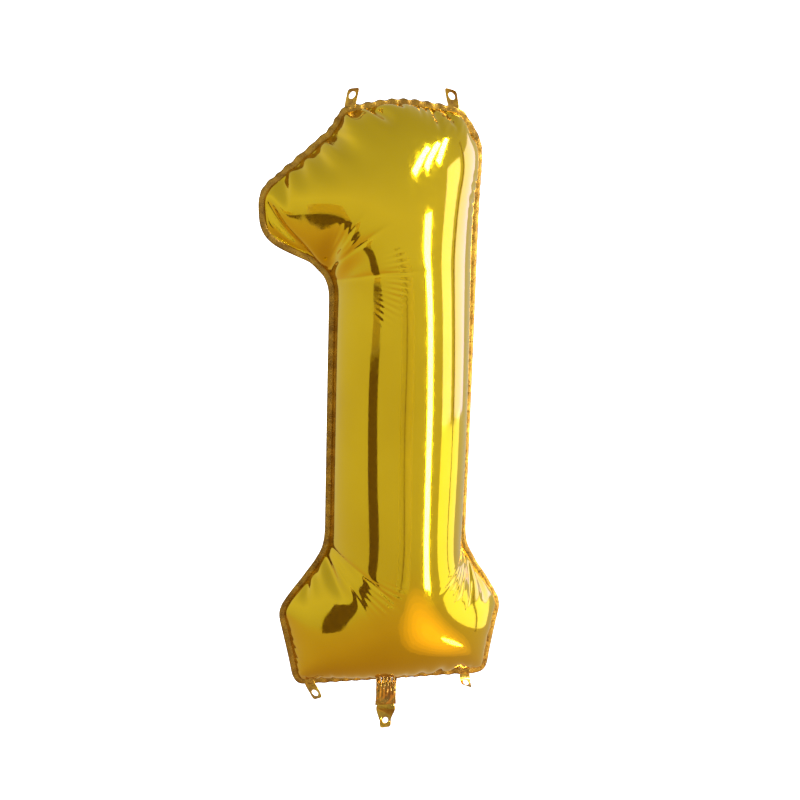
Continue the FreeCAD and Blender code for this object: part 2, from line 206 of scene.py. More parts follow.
def film_threads(flat):
    """Neighbouring points that the film keeps at their flat distance, in sets that share no point."""
    rows, around = flat.shape[:2]
    column = np.arange(around)
    onward = (column + 1) % around
    sets = []
    for first in (0, 1):
        some = column[first::2]
        sets.append(((slice(None), some), (slice(None), onward[some]), 1.0))
    for first in (0, 1):
        sets.append(((slice(first, -1, 2),), (slice(first + 1, None, 2),), 1.0))
    for up, down in ((0, 1), (1, 0)):
        for first in (0, 1):
            row = np.arange(first, rows - 1, 2)[:, None]
            sets.append(((row + up, column[None]), (row + down, onward[None]), SHEAR_HOLD))
    return [(a, b, np.linalg.norm(flat[a] - flat[b], axis=-1), hold) for a, b, hold in sets]


def blow_up(film, flat, weld, rounds, push, fold, smooth, uneven, hold):
    """Film under gas pressure: each round pushes every point along its normal by the area it stands for,
    then pulls stretched threads back to their flat length; short ones resist only as much as fold."""
    threads = film_threads(flat)
    threads = threads + threads[-2::-1]
    around = film.shape[1]
    across = (around - np.arange(around)) % around
    film = film.copy()
    film[1:-1] += np.random.default_rng(1).normal(0, uneven, film[1:-1].shape)
    going = np.zeros_like(film)
    for _ in range(rounds):
        before = film.copy()
        sideways = (np.roll(film, -1, 1) - np.roll(film, 1, 1)) / 2
        upwards = np.gradient(film, axis=0)
        film += MOMENTUM * going + push * np.cross(sideways, upwards)
        film += smooth * (np.roll(film, -1, 1) + np.roll(film, 1, 1) - 2 * film)
        film[1:-1] += smooth * (film[2:] + film[:-2] - 2 * film[1:-1])
        for a, b, rest, share in threads:
            gap = film[b] - film[a]
            length = np.sqrt((gap * gap).sum(-1)) + 1e-12
            over = (length - rest) / length
            gap *= (over * np.where(over > 0, share, share * fold) / 2)[..., None]
            film[a] += gap
            film[b] -= gap
        for end in (0, -1):
            film[end] = (film[end] + film[end][across]) / 2
        for row, col, place in weld:
            film[row, col] += hold * (place - film[row, col])
        going = film - before
    return film


def weld_places(full):
    """Where the weld is held: the outline of the full balloon, in the plane between the two sheets."""
    flat_plane = np.stack((full[..., 0], np.zeros(full.shape[:2]), full[..., 1]), -1)
    columns = full.shape[1] - 1
    middle = slice(1, columns)
    return [
        (slice(None), 0, flat_plane[:, 0]),
        (slice(None), columns, flat_plane[:, -1]),
        (0, middle, flat_plane[0, 1:-1]),
        (-1, middle, flat_plane[-1, 1:-1]),
    ]


def inflate():
    """The film all round at its finest, stage by stage, and the flat pattern it came from."""
    film = None
    for cell, rounds, push, fold, smooth, uneven, hold in STAGES:
        flat, full = patch(WELD_FLAT, cell), patch(WELD_FULL, cell)
        ring = all_round(flat)
        film = first_shape(full) if film is None else finer(film, *ring.shape[:2])
        film = blow_up(film, ring, weld_places(full), rounds, push, fold, smooth, uneven, hold)
    film[..., 0] += COLUMN_CENTRE
    return film, flat


FINE_ROWS, FINE_AROUND = 520, 330
CALM_COLUMNS = 4

# sharp folds: from sideways and up, to sideways and up, half width, depth
FOLDS = (
    (-0.104, 0.628, -0.030, 0.697, 0.0035, 0.0022),
    (-0.098, 0.612, 0.020, 0.634, 0.0030, 0.0016),
    (-0.104, 0.640, -0.062, 0.712, 0.0030, 0.0012),
    (-0.094, 0.222, 0.000, 0.148, 0.0035, 0.0020),
    (-0.090, 0.205, -0.045, 0.130, 0.0030, 0.0012),
    (0.114, 0.208, 0.075, 0.140, 0.0030, 0.0016),
    (0.108, 0.222, 0.050, 0.165, 0.0030, 0.0012),
    (0.120, 0.200, 0.100, 0.125, 0.0030, 0.0014),
)
# fans of fine ribs: centre sideways and up, first and last direction, ribs, near and far reach, height
FANS = (
    (-0.112, 0.622, 38, 82, 7, 0.025, 0.085, 0.0009),
    (-0.108, 0.625, -46, 28, 15, 0.066, 0.112, 0.0008),
    (-0.104, 0.226, -58, -18, 8, 0.060, 0.125, 0.0008),
    (0.122, 0.226, 205, 262, 7, 0.020, 0.090, 0.0010),
    (-0.150, 0.845, -75, -10, 6, 0.040, 0.095, 0.0006),
    (0.100, 0.880, 205, 260, 6, 0.030, 0.085, 0.0007),
)


def rounded_off(grid, count, axis, ring):
    """The surface with count points along one axis, as a smooth cubic spline near the old ones."""
    grid = np.moveaxis(grid, axis, 0)
    if ring:
        before, after = grid[-1:], grid[:2]
    else:
        before, after = 2 * grid[:1] - grid[1:2], 2 * grid[-1:] - grid[-2:-1]
    size = len(grid) if ring else len(grid) - 1
    padded = np.concatenate((before, grid, after, after))
    place = np.linspace(0, size, count, endpoint=not ring)
    low = np.minimum(place.astype(int), size - 1)
    t = (place - low).reshape([-1] + [1] * (grid.ndim - 1))
    weights = ((1 - t) ** 3, 3 * t**3 - 6 * t**2 + 4, -3 * t**3 + 3 * t**2 + 3 * t + 1, t**3)
    return np.moveaxis(sum(w * padded[low + k] for k, w in enumerate(weights)) / 6, 0, axis)


def window(value, low, high):
    """Rises from nothing at low and falls to nothing at high, as a squared sine."""
    return np.sin(np.pi * np.clip((value - low) / (high - low), 0, 1)) ** 2


def fold_depth(x, z):
    """Depth of every sharp fold: an exponential groove about its line, fading in and out along it."""
    depth = np.zeros_like(x)
    for x0, z0, x1, z1, wide, deep in FOLDS:
        length = math.hypot(x1 - x0, z1 - z0)
        along = ((x - x0) * (x1 - x0) + (z - z0) * (z1 - z0)) / length
        bow = 0.05 * length * np.sin(np.pi * np.clip(along / length, 0, 1))
        off = ((x - x0) * (z1 - z0) - (z - z0) * (x1 - x0)) / length + bow
        depth += deep * np.exp(-np.abs(off) / wide) * np.sqrt(window(along, -0.15 * length, length))
    return depth


def fan_height(x, z):
    """Height of every fan: straight-sided ribs that radiate from a centre, each of its own strength."""
    height = np.zeros_like(x)
    for k, (x0, z0, first, last, ribs, near, far, high) in enumerate(FANS):
        reach = np.hypot(x - x0, z - z0)
        turn = np.degrees(np.arctan2(z - z0, x - x0)) - first
        share = (turn % 360) / (last - first)
        own = np.random.default_rng(k).uniform(0.35, 1, ribs + 1)
        rib = own[np.clip(share * ribs, 0, ribs).astype(int)]
        wave = 1 - 2 * np.abs((share * ribs) % 1 - 0.5) * 2
        height += high * rib * wave * window(reach, near, far) * np.sqrt(window(share, 0, 1))
    return height


def creased(film):
    """The film on a fine smooth grid, pushed in along its normal by the folds and out by the ribs."""
    film = rounded_off(film, FINE_ROWS, 0, False)
    film = rounded_off(film, FINE_AROUND, 1, True)
    sideways = np.roll(film, -1, 1) - np.roll(film, 1, 1)
    normal = np.cross(sideways, np.gradient(film, axis=0))
    normal /= np.linalg.norm(normal, axis=-1, keepdims=True) + 1e-12
    x, z = film[..., 0], film[..., 2]
    one_side = FINE_AROUND // 2
    column = np.arange(FINE_AROUND) % one_side
    calm = np.clip(np.minimum(column, one_side - column) / CALM_COLUMNS, 0, 1)[None]
    return film + (calm * (fan_height(x, z) - fold_depth(x, z)))[..., None] * normal


def grid_faces(rows, columns, close_rows=False, close_columns=False):
    """Four-sided faces of a grid of points numbered row by row, closed on itself where asked."""
    row = np.arange(rows if close_rows else rows - 1)[:, None]
    column = np.arange(columns if close_columns else columns - 1)[None]
    up, on = (row + 1) % rows, (column + 1) % columns
    corners = (row * columns + column, row * columns + on, up * columns + on, up * columns + column)
    return np.stack(corners, -1).reshape(-1, 4)


def outward_faces(points, faces):
    """Faces of a closed surface, turned so that the volume they enclose counts as positive."""
    a, b, c, d = (points[faces[:, k]] for k in range(4))
    volume = (a * np.cross(b, c)).sum() + (a * np.cross(c, d)).sum()
    return faces if volume > 0 else faces[:, ::-1]


def make_piece(name, points, faces, material, detail=0):
    """A smooth mesh piece in the part's frame with its material and its subdivision."""
    mesh = bpy.data.meshes.new(name)
    mesh.from_pydata(points.reshape(-1, 3).tolist(), [], faces.tolist())
    mesh.polygons.foreach_set("use_smooth", np.ones(len(faces), bool))
    mesh.materials.append(material)
    piece = bpy.data.objects.new(name, mesh)
    bpy.context.scene.collection.objects.link(piece)
    if detail:
        modifier = piece.modifiers.new("smooth film", "SUBSURF")
        modifier.levels = detail
        modifier.render_levels = detail
    return piece


def start_material(name):
    """A new node material: its node tree and its shader."""
    material = bpy.data.materials.new(name)
    material.use_nodes = True
    return material, material.node_tree, material.node_tree.nodes["Principled BSDF"]


def noise_at(tree, scale, detail, stretch=(1, 1, 1)):
    """A noise pattern fixed to the piece, with its coordinates stretched along an axis where asked."""
    place = tree.nodes.new("ShaderNodeTexCoord")
    mapping = tree.nodes.new("ShaderNodeMapping")
    mapping.inputs["Scale"].default_value = stretch
    noise = tree.nodes.new("ShaderNodeTexNoise")
    noise.inputs["Scale"].default_value = scale
    noise.inputs["Detail"].default_value = detail
    tree.links.new(place.outputs["Object"], mapping.inputs["Vector"])
    tree.links.new(mapping.outputs["Vector"], noise.inputs["Vector"])
    return noise.outputs["Fac"]


def spread_to(tree, value, low, high, socket):
    """Carries a 0.3 to 0.7 pattern to low to high on a shader socket."""
    ranger = tree.nodes.new("ShaderNodeMapRange")
    ranger.inputs["From Min"].default_value = 0.3
    ranger.inputs["From Max"].default_value = 0.7
    ranger.inputs["To Min"].default_value = low
    ranger.inputs["To Max"].default_value = high
    tree.links.new(value, ranger.inputs["Value"])
    tree.links.new(ranger.outputs["Result"], socket)


def tint_between(tree, shader, value, dark, light):
    """Carries a 0.35 to 0.65 pattern to a blend of two colours on the shader's base colour."""
    ramp = tree.nodes.new("ShaderNodeValToRGB")
    ramp.color_ramp.elements[0].position = 0.35
    ramp.color_ramp.elements[0].color = (*dark, 1)
    ramp.color_ramp.elements[1].position = 0.65
    ramp.color_ramp.elements[1].color = (*light, 1)
    tree.links.new(value, ramp.inputs["Fac"])
    tree.links.new(ramp.outputs["Color"], shader.inputs["Base Color"])


def bumps(tree, shader, layers):
    """Relief from several patterns in turn, each given with its height in metres and its strength."""
    normal = None
    for value, height, strength in layers:
        bump = tree.nodes.new("ShaderNodeBump")
        bump.inputs["Distance"].default_value = height
        bump.inputs["Strength"].default_value = strength
        tree.links.new(value, bump.inputs["Height"])
        if normal is not None:
            tree.links.new(normal, bump.inputs["Normal"])
        normal = bump.outputs["Normal"]
    tree.links.new(normal, shader.inputs["Normal"])


def panel_foil():
    """Gold film, mirror bright: a clear outer skin over the metal, cockled very slightly along the draw."""
    material, tree, shader = start_material("gold foil panel")
    shader.inputs["Metallic"].default_value = 1.0
    shader.inputs["Coat Weight"].default_value = 0.38
    shader.inputs["Coat Roughness"].default_value = 0.03
    tint_between(tree, shader, noise_at(tree, 6, 3), (0.84, 0.575, 0.010), (0.92, 0.65, 0.014))
    spread_to(tree, noise_at(tree, 120, 4), 0.05, 0.11, shader.inputs["Roughness"])
    layers = (
        (noise_at(tree, 22, 2, (1, 1, 0.12)), 0.0016, 0.32),
        (noise_at(tree, 70, 3), 0.0004, 0.12),
    )
    bumps(tree, shader, layers)
    return material


plain_film, flat_sheet = inflate()
film = creased(plain_film)
rows, around = film.shape[:2]
half = around // 2
front_points = film[:, : half + 1]
back_points = np.concatenate((film[:, half:], film[:, :1]), 1)
foil = panel_foil()
for piece_name, points, node, slot_name in (
    ("front_panel_film", front_points, "front_panel", "front_foil"),
    ("back_panel_film", back_points, "back_panel", "back_foil"),
):
    panel = make_piece(piece_name, points, grid_faces(rows, half + 1), foil)
    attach(panel, "envelope")
    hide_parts(node)


# ---- Seal band ---------------------------------------------------------------------------------
# Both films fused flat in a narrow flange outside the weld, with a clean cut edge. It is stiffer
# than single film and keeps its flat length, so where the weld has drawn in it stands in ruffles.

BAND_WIDTH = 0.009
BAND_INSIDE = 0.0012
BAND_THICKNESS = 0.0004
RUFFLE_LENGTH = 0.017
RUFFLE_SWING = 0.15 * RUFFLE_LENGTH / math.pi
SLACK_LAID_FLAT, SLACK_AT_FULL_SWING = 0.09, 0.18
SCALLOP_DEPTH = 0.00110
WANDER_TURNS = 0.9
BAND_STEPS = 1400
BAND_SMOOTHING = 0.006
GATHER_SMOOTHING = 0.02


def edge_loop(grid):
    """The outer points of a grid, anticlockwise from its first one."""
    return np.concatenate((grid[0, :-1], grid[:-1, -1], grid[-1, :0:-1], grid[:0:-1, 0]))


def along_loop(loop):
    """Length so far at each point of a closed loop, and its whole length."""
    step = np.linalg.norm(np.roll(loop, -1, 0) - loop, axis=-1)
    return np.concatenate(([0], np.cumsum(step)))[:-1], step.sum()


def ring_average(values, step, reach):
    """Values on an even closed loop, averaged with a bell-shaped weight of the given reach."""
    count = len(values)
    away = np.minimum(np.arange(count), count - np.arange(count)) * step
    weight = np.exp(-0.5 * (away / reach) ** 2)
    spectrum = np.fft.rfft(weight / weight.sum())
    shape = (-1,) + (1,) * (values.ndim - 1)
    return np.fft.irfft(np.fft.rfft(values, axis=0) * spectrum.reshape(shape), count, axis=0)


def band_points():
    """Band carried round the weld: its section is a thin flat lens from just inside the weld to the cut
    edge. It swings to and fro across the weld's plane where its spare length is more than can lie flat."""
    weld_line, flat_line = edge_loop(front_points), edge_loop(flat_sheet)
    coarse_line = edge_loop(plain_film[:, : flat_sheet.shape[1]])
    so_far, whole = along_loop(weld_line)
    coarse_so_far, coarse_whole = along_loop(coarse_line)
    flat_step = np.linalg.norm(np.roll(flat_line, -1, 0) - flat_line, axis=-1)
    full_step = np.linalg.norm(np.roll(coarse_line, -1, 0) - coarse_line, axis=-1)
    spare_here = np.clip(flat_step / full_step - 1, 0, 0.3)
    place = np.linspace(0, whole, BAND_STEPS, endpoint=False)
    step = whole / BAND_STEPS
    line = np.stack([np.interp(place, so_far, weld_line[:, k], period=whole) for k in range(3)], 1)
    coarse_place = coarse_so_far * whole / coarse_whole
    spare = ring_average(np.interp(place, coarse_place, spare_here, period=whole), step, GATHER_SMOOTHING)
    smooth_line = ring_average(line, step, BAND_SMOOTHING)
    ahead = np.roll(smooth_line, -1, 0) - np.roll(smooth_line, 1, 0)
    ahead /= np.linalg.norm(ahead, axis=-1, keepdims=True)
    out = np.stack((ahead[:, 2], np.zeros(BAND_STEPS), -ahead[:, 0]), 1)
    across = np.cross(ahead, out)
    wander = ring_average(np.random.default_rng(4).normal(0, 1, BAND_STEPS), step, 0.03)
    wander *= WANDER_TURNS / np.abs(wander).max()
    phase = 2 * np.pi * round(whole / RUFFLE_LENGTH) * place / whole + 2 * np.pi * wander
    ruffle = np.sqrt(np.clip((spare - SLACK_LAID_FLAT) / (SLACK_AT_FULL_SWING - SLACK_LAID_FLAT), 0, 1))
    share = np.array((0, 0.25, 0.55, 0.85, 1, 0.85, 0.55, 0.25))
    thick = np.array((0, 1, 1, 1, 0, -1, -1, -1)) * BAND_THICKNESS / 2
    reach = -BAND_INSIDE + share * (BAND_WIDTH + BAND_INSIDE)
    mix = share[:, None, None] ** 0.5
    base = (1 - mix) * line[None] + mix * smooth_line[None]
    scallop = (SCALLOP_DEPTH * ruffle * np.sin(phase + 1.1))[None]
    side = thick[:, None] + share[:, None] ** 1.5 * (RUFFLE_SWING * ruffle * np.sin(phase))[None]
    away = reach[:, None] + share[:, None] * scallop
    return base + away[..., None] * out[None] + side[..., None] * across[None]


def band_foil_painted_shade():
    """Fused film: duller than the panels, with its base colour painted dark brown as painted shade and
    painted dark reflection along the rim, and with the weld's fine cross ribs.
    """
    material, tree, shader = start_material("fused foil band painted shade")
    shader.inputs["Metallic"].default_value = 1.0
    shader.inputs["Coat Weight"].default_value = 0.15
    shader.inputs["Coat Roughness"].default_value = 0.2
    # base colour painted dark brown: painted shade and painted dark reflection along the rim
    tint_between(tree, shader, noise_at(tree, 60, 3), (0.30, 0.155, 0.026), (0.54, 0.31, 0.045))
    spread_to(tree, noise_at(tree, 180, 4), 0.22, 0.36, shader.inputs["Roughness"])
    bumps(tree, shader, ((noise_at(tree, 420, 2), 0.0002, 0.5),))
    return material


band = band_points()
band_faces = grid_faces(band.shape[0], BAND_STEPS, True, True)
seal = make_piece(
    "seal_band_film", band, outward_faces(band.reshape(-1, 3), band_faces), band_foil_painted_shade()
)
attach(seal, "envelope")
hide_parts("seal_band")


# ---- Throat and filling neck -------------------------------------------------------------------
# The same two films run down past the bottom edge as a flat neck, welded along both sides, with
# the valve's tail inside. It is gathered where it leaves the edge and crumpled from filling.

NECK_HALF_WIDTH = 0.0165
NECK_HALF_THICKNESS = 0.0011
NECK_TOP, NECK_CREASE = 0.010, -0.043
WAIST = 0.04
GATHER_HEIGHT, GATHER_PITCH = 0.0019, 0.0055
NECK_CRUMPLE = 0.0011
NECK_ROWS, NECK_AROUND = 90, 120
CRUMPLES = 9


def crumple(x, z, height, seed):
    """Sum of straight-ridged waves at different slants, each running from a valley to a sharp ridge."""
    random = np.random.default_rng(seed)
    total = np.zeros_like(x)
    for slant, pitch, start in random.uniform((-1.2, 0.008, 0), (1.2, 0.024, 1), (CRUMPLES, 3)):
        wave = (x * math.sin(slant) + z * math.cos(slant)) / pitch + start
        total += pitch * (np.abs(2 * (wave % 1) - 1) - 0.5)
    return height * total / np.abs(total).max()


def neck_points():
    """Flattened tube: each row is a lens of the neck's width, slightly waisted; gathers fade downwards from
    the bottom edge and crumples grow towards the crease, moving both faces alike."""
    z = np.linspace(NECK_CREASE, NECK_TOP, NECK_ROWS)[:, None]
    angle = np.linspace(0, 2 * np.pi, NECK_AROUND, endpoint=False)[None]
    waist = 1 - WAIST * np.sin(np.clip(z / NECK_CREASE, 0, 1) * np.pi)
    x = NECK_HALF_WIDTH * waist * np.cos(angle)
    open_up = 1 + 1.6 * np.exp(-(((z + 0.012) / 0.010) ** 2))
    shut = np.sqrt(np.clip(np.minimum(z - NECK_CREASE, NECK_TOP - z) / 0.002, 0, 1))
    lens = NECK_HALF_THICKNESS * open_up * shut * np.sign(np.sin(angle)) * np.abs(np.sin(angle)) ** 0.8
    fade = np.exp(-np.abs(z + 0.004) / 0.009)
    gather = GATHER_HEIGHT * fade * np.sin(2 * np.pi * x / GATHER_PITCH + 0.7)
    loose = np.clip(-z / 0.012, 0, 1)
    wrinkle = crumple(x + 0 * z, z + 0 * x, NECK_CRUMPLE, 11) * loose
    calm = np.clip((z - NECK_CREASE) / 0.006, 0, 1) ** 0.5
    y = -(lens + (gather + wrinkle) * (0.35 + 0.65 * calm))
    return np.stack(np.broadcast_arrays(x, y, z), -1)


def neck_foil(name, dark, light):
    """Single film, much handled: gold between a browner and a lighter tint, with fine crumple lines."""
    material, tree, shader = start_material(name)
    shader.inputs["Metallic"].default_value = 1.0
    shader.inputs["Coat Weight"].default_value = 0.5
    shader.inputs["Coat Roughness"].default_value = 0.06
    tint_between(tree, shader, noise_at(tree, 40, 3), dark, light)
    spread_to(tree, noise_at(tree, 200, 3), 0.08, 0.20, shader.inputs["Roughness"])
    bumps(tree, shader, ((noise_at(tree, 90, 3), 0.0006, 0.25),))
    return material


neck_material = neck_foil("crumpled foil neck", (0.28, 0.13, 0.030), (0.52, 0.30, 0.045))
neck = neck_points()
neck_faces = grid_faces(NECK_ROWS, NECK_AROUND, False, True)
neck_piece = make_piece(
    "filling_neck_film", neck, outward_faces(neck.reshape(-1, 3), neck_faces), neck_material, 1
)
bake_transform(neck_piece)
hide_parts("throat_front_film", "throat_back_film", "neck_front_film", "neck_back_film")


# ---- Neck end ----------------------------------------------------------------------------------
# The last stretch of the neck below its crease, both films fused. It narrows to a rounded tip with
# a punched hole for the ribbon, and it is creased once along a slanting line above the hole.

END_HOLE_HEIGHT = -0.068
END_HOLE_RADIUS = 0.0045
END_ABOVE, END_BELOW = 0.0285, 0.0115
FOLD_SLANT, FOLD_HEIGHT = -0.62, -0.0565
SLOPE_BELOW_FOLD, SLOPE_ABOVE_FOLD = 0.18, -0.30
TIP_NARROWING = 0.42
END_CRUMPLE = 0.0005
SHEET_RINGS, SHEET_SPOKES = 26, 128
CORNER_POWER = 5.0


def eyelet_sheet(hole, half_width, below, above, thickness):
    """Thin sheet round a hole, as sideways, upward and through distances from the hole's centre: rings run
    from the rim out to a rounded rectangle on one face and back to the rim on the other."""
    angle = np.linspace(0, 2 * np.pi, SHEET_SPOKES, endpoint=False)[None]
    reach = np.where(np.sin(angle) > 0, above, below)
    far = np.abs(np.cos(angle) / half_width) ** CORNER_POWER + np.abs(np.sin(angle) / reach) ** CORNER_POWER
    far = far ** (-1 / CORNER_POWER)
    share = np.linspace(0, 1, SHEET_RINGS)
    share = np.concatenate((share, share[::-1]))[:, None]
    face = np.where(np.arange(2 * SHEET_RINGS) < SHEET_RINGS, 1, -1)[:, None]
    edge = np.clip(np.minimum(share, 1 - share) * SHEET_RINGS, 0, 1)
    radius = hole + (far - hole) * share
    through = face * thickness / 2 * (0.15 + 0.85 * edge)
    return radius * np.cos(angle), radius * np.sin(angle), through + 0 * angle


def end_points():
    """The eyelet sheet narrowed towards its tip and creased along the slanting fold line, from where the
    film comes forward upwards and downwards; its crumples die out round the hole."""
    x, up, through = eyelet_sheet(END_HOLE_RADIUS, 0.0158, END_BELOW, END_ABOVE, 0.0009)
    z = END_HOLE_HEIGHT + up
    narrow = 1 - TIP_NARROWING * np.clip((-0.046 - z) / 0.022, 0, 1) ** 1.3
    near_hole = np.exp(-((np.hypot(x, up) / 0.009) ** 4))
    x = x * (narrow + (1 - narrow) * near_hole)
    past = (FOLD_HEIGHT + FOLD_SLANT * x - z) / math.hypot(1, FOLD_SLANT)
    bend = past * np.where(past > 0, SLOPE_BELOW_FOLD, SLOPE_ABOVE_FOLD)
    top_calm = np.clip((-0.043 - z) / 0.006, 0, 1)
    wrinkle = crumple(x, z, END_CRUMPLE, 23) * top_calm * (1 - near_hole)
    y = -(through + bend * top_calm + wrinkle)
    return np.stack((x, y, z), -1)


end_material = neck_foil("foil neck end", (0.40, 0.23, 0.020), (0.66, 0.40, 0.035))
end = end_points()
end_faces = grid_faces(2 * SHEET_RINGS, SHEET_SPOKES, True, True)
end_piece = make_piece(
    "neck_end_film", end, outward_faces(end.reshape(-1, 3), end_faces), end_material, 1
)
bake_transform(end_piece)
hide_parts("neck_end_front_film", "neck_end_back_film")


# ---- Hanging tabs ------------------------------------------------------------------------------
# Four small tongues of the fused band, one near each top and bottom corner, each with a punched
# hole for a hanging line. Cut from springy film, they curl and twist as they leave the edge.

TAB_HALF_WIDTH = 0.0085
TAB_LENGTH = 0.023
TAB_HOLE_OUT = 0.014
TAB_HOLE_RADIUS = 0.0045
TAB_ROOT = 0.004
# curl forwards over the length, twist along it and lean to the side, in radians
TABS = {
    "tab_top_left": (0.35, 0.3, 0.42),
    "tab_top_right": (0.35, 0.4, -0.42),
    "tab_bottom_left": (0.9, 0.4, 0.50),
    "tab_bottom_right": (1.7, -0.4, 0.05),
}


def tab_points(joint, curl, twist, lean):
    """The eyelet sheet set on its bend line and rolled: distance out becomes an arc of the given curl, and
    each cross line turns about the arc's own direction by its share of the twist."""
    root = np.array(joint["pos_m"])
    outward = np.array((-joint["axis"][2], 0, joint["axis"][0]))
    sideways, forward = np.array((abs(outward[2]), 0, -outward[0])), np.array((0, -1, 0))
    across, up, through = eyelet_sheet(
        TAB_HOLE_RADIUS, TAB_HALF_WIDTH, TAB_HOLE_OUT + TAB_ROOT, TAB_LENGTH - TAB_HOLE_OUT, 0.0005
    )
    out = TAB_HOLE_OUT + up
    free = np.clip(out, 0, None)
    share = free / TAB_LENGTH
    roll = curl * share
    radius = TAB_LENGTH / curl
    turn = twist * share
    lift = through * np.cos(turn) + across * np.sin(turn)
    across = across * np.cos(turn) - through * np.sin(turn)
    along = radius * np.sin(roll) - lift * np.sin(roll) + np.clip(out, None, 0)
    rise = radius * (1 - np.cos(roll)) + lift * np.cos(roll)
    across = across + math.tan(lean) * along.clip(0)
    return root + along[..., None] * outward + across[..., None] * sideways + rise[..., None] * forward


def tab_foil():
    """Fused film of the tabs: bright gold with browner, duller patches."""
    material, tree, shader = start_material("foil tab")
    shader.inputs["Metallic"].default_value = 1.0
    shader.inputs["Coat Weight"].default_value = 0.5
    shader.inputs["Coat Roughness"].default_value = 0.06
    tint_between(tree, shader, noise_at(tree, 90, 2), (0.40, 0.20, 0.035), (0.76, 0.46, 0.050))
    spread_to(tree, noise_at(tree, 220, 3), 0.10, 0.22, shader.inputs["Roughness"])
    bumps(tree, shader, ((noise_at(tree, 260, 3), 0.0004, 0.4),))
    return material


tab_material = tab_foil()
tab_faces = grid_faces(2 * SHEET_RINGS, SHEET_SPOKES, True, True)
bend_joints = {joint["name"]: joint for joint in frame["joints"]}
for tab_name, (curl, twist, lean) in TABS.items():
    joint = bend_joints[tab_name + "_bend"]
    points = tab_points(joint, curl, twist, lean)
    faces = outward_faces(points.reshape(-1, 3), tab_faces)
    tab = make_piece(tab_name + "_film", points, faces, tab_material)
    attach(tab, tab_name + "_body")
    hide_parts(tab_name)


# ---- Valve films -------------------------------------------------------------------------------
# Two strips of clear polyethylene between the panels, welded along their sides into a flat tube.
# Gas presses their free inner ends together; the tail runs down inside the neck.

VALVE_NODES = (
    "valve_front_film", "valve_back_film", "valve_inlet_front_film",
    "valve_inlet_back_film", "valve_front_flap", "valve_back_flap",
)


def valve_polyethylene():
    """Clear soft film, faintly milky, with a fine rolled grain."""
    material, tree, shader = start_material("clear valve film")
    shader.inputs["IOR"].default_value = 1.51
    shader.inputs["Alpha"].default_value = 0.6
    tint_between(tree, shader, noise_at(tree, 50, 2), (0.72, 0.76, 0.78), (0.86, 0.88, 0.90))
    spread_to(tree, noise_at(tree, 240, 3), 0.14, 0.30, shader.inputs["Roughness"])
    bumps(tree, shader, ((noise_at(tree, 300, 2, (1, 1, 0.2)), 0.0001, 0.3),))
    return material


valve_material = valve_polyethylene()
for node in VALVE_NODES:
    valve_mesh = frame["nodes"][node].data
    valve_mesh.materials.clear()
    valve_mesh.materials.append(valve_material)


# ---- Studio ------------------------------------------------------------------------------------
# The balloon floats above a plain pale floor in a softly lit room. Cool windows and a bright strip
# stand to the right, a warm glow lies low in front, and screens give the film edges to mirror.

FLOOR_HEIGHT, FLOOR_RADIUS, WALL_HEIGHT, ROOM_SIDES = -1.2, 12, 14, 96
AIM = Vector((0.008, 0.0, 0.438))
CAMERA_DISTANCE = 1.6
WINDOW_PANES, GLOW_STEPS = 3, 6


def room_light():
    """Sky of the room: pale all round and above, warm and darker towards and below the floor."""
    world = bpy.data.worlds.new("room")
    bpy.context.scene.world = world
    world.use_nodes = True
    tree = world.node_tree
    place = tree.nodes.new("ShaderNodeTexCoord")
    split = tree.nodes.new("ShaderNodeSeparateXYZ")
    ramp = tree.nodes.new("ShaderNodeValToRGB")
    heights = (
        (0.0, (0.42, 0.26, 0.12)), (0.15, (0.54, 0.39, 0.22)), (0.27, (0.57, 0.46, 0.30)),
        (0.34, (0.57, 0.53, 0.40)), (0.46, (0.62, 0.60, 0.48)), (0.60, (0.66, 0.64, 0.56)),
        (0.80, (0.50, 0.49, 0.47)), (1.0, (0.42, 0.41, 0.40)),
    )
    while len(ramp.color_ramp.elements) < len(heights):
        ramp.color_ramp.elements.new(0.5)
    for stop, (height, colour) in zip(ramp.color_ramp.elements, heights):
        stop.position = height
        stop.color = (*colour, 1)
    ranger = tree.nodes.new("ShaderNodeMapRange")
    ranger.inputs["From Min"].default_value = -1
    tree.links.new(place.outputs["Generated"], split.inputs["Vector"])
    tree.links.new(split.outputs["Z"], ranger.inputs["Value"])
    tree.links.new(ranger.outputs["Result"], ramp.inputs["Fac"])
    tree.links.new(ramp.outputs["Color"], tree.nodes["Background"].inputs["Color"])


def pale_surface(name, points, faces, material):
    """A plain stage surface that the balloon's film does not mirror."""
    mesh = bpy.data.meshes.new(name)
    mesh.from_pydata(points.reshape(-1, 3).tolist(), [], faces)
    mesh.materials.append(material)
    surface = bpy.data.objects.new(name, mesh)
    bpy.context.scene.collection.objects.link(surface)
    surface.visible_glossy = False


def pale_room():
    """A wide plain disc of floor inside a round wall, both pale and giving off light, so even all over."""
    material, tree, shader = start_material("pale floor")
    shader.inputs["Roughness"].default_value = 0.9
    shader.inputs["Emission Color"].default_value = (1, 1, 1, 1)
    shader.inputs["Emission Strength"].default_value = 0.75
    tint_between(tree, shader, noise_at(tree, 0.5, 1), (0.84, 0.84, 0.83), (0.88, 0.88, 0.87))
    angle = np.linspace(0, 2 * np.pi, ROOM_SIDES, endpoint=False)
    height = np.full(ROOM_SIDES, FLOOR_HEIGHT)
    ring = np.stack((FLOOR_RADIUS * np.cos(angle), FLOOR_RADIUS * np.sin(angle), height), 1)
    pale_surface("floor", ring, [list(range(ROOM_SIDES))], material)
    wall = np.stack((ring, ring + (0, 0, WALL_HEIGHT)))
    pale_surface("wall", wall, grid_faces(2, ROOM_SIDES, False, True)[:, ::-1].tolist(), material)


